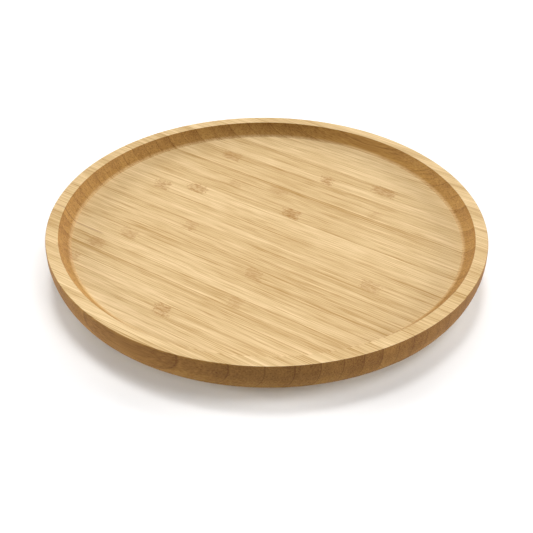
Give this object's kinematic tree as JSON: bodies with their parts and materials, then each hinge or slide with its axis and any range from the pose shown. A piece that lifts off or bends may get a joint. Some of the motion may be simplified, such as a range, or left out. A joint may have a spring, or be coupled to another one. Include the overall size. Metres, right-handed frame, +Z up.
{
  "type": "lazy susan turntable",
  "caption": "Round bamboo turntable: a shallow tray with a raised rim, turning on a hidden square ball bearing and a small base disc with rubber feet.",
  "frame": {"origin": "on the table under the turning axis, level with the undersides of the feet", "axes": "+Z up along the turning axis; the bamboo's grain runs along X; the base's access hole is on +X"},
  "size_m": [0.35, 0.35, 0.038],
  "materials": {
    "bamboo": "pale laminated bamboo with a satin oiled surface",
    "zinc_plate": "zinc-plated pressed steel sheet",
    "collar_steel": "zinc-plated rolled steel",
    "ball_steel": "polished steel with a film of grease",
    "cage_nylon": "natural moulded nylon",
    "foot_rubber": "matt black rubber",
    "screw_steel": "zinc-plated steel"
  },
  "bodies": {
    "base": {"base_disc": "bamboo", "lower_plate": "zinc_plate", "centre_collar": "collar_steel", "foot_1": "foot_rubber", "foot_2": "foot_rubber", "foot_3": "foot_rubber", "foot_4": "foot_rubber", "foot_screw_1": "screw_steel", "foot_screw_2": "screw_steel", "foot_screw_3": "screw_steel", "foot_screw_4": "screw_steel", "base_screw_1": "screw_steel", "base_screw_2": "screw_steel", "base_screw_3": "screw_steel", "base_screw_4": "screw_steel"},
    "cage": {"ball_cage": "cage_nylon", "ball_01": "ball_steel", "ball_02": "ball_steel", "ball_03": "ball_steel", "ball_04": "ball_steel", "ball_05": "ball_steel", "ball_06": "ball_steel", "ball_07": "ball_steel", "ball_08": "ball_steel", "ball_09": "ball_steel", "ball_10": "ball_steel", "ball_11": "ball_steel", "ball_12": "ball_steel", "ball_13": "ball_steel", "ball_14": "ball_steel", "ball_15": "ball_steel", "ball_16": "ball_steel", "ball_17": "ball_steel", "ball_18": "ball_steel", "ball_19": "ball_steel", "ball_20": "ball_steel", "ball_21": "ball_steel", "ball_22": "ball_steel", "ball_23": "ball_steel", "ball_24": "ball_steel"},
    "tray": {"tray": "bamboo", "upper_plate": "zinc_plate", "tray_screw_1": "screw_steel", "tray_screw_2": "screw_steel", "tray_screw_3": "screw_steel", "tray_screw_4": "screw_steel"}
  },
  "joints": [
    {"name": "tray_spin", "type": "hinge", "parent": "base", "child": "tray", "pos_m": [0, 0, 0.015], "axis": [0, 0, 1], "continuous": true},
    {"name": "cage_orbit", "type": "hinge", "parent": "base", "child": "cage", "pos_m": [0, 0, 0.015], "axis": [0, 0, 1], "continuous": true}
  ],
  "couplings": [
    {"joint": "cage_orbit", "follows": "tray_spin", "ratio": 0.5}
  ]
}
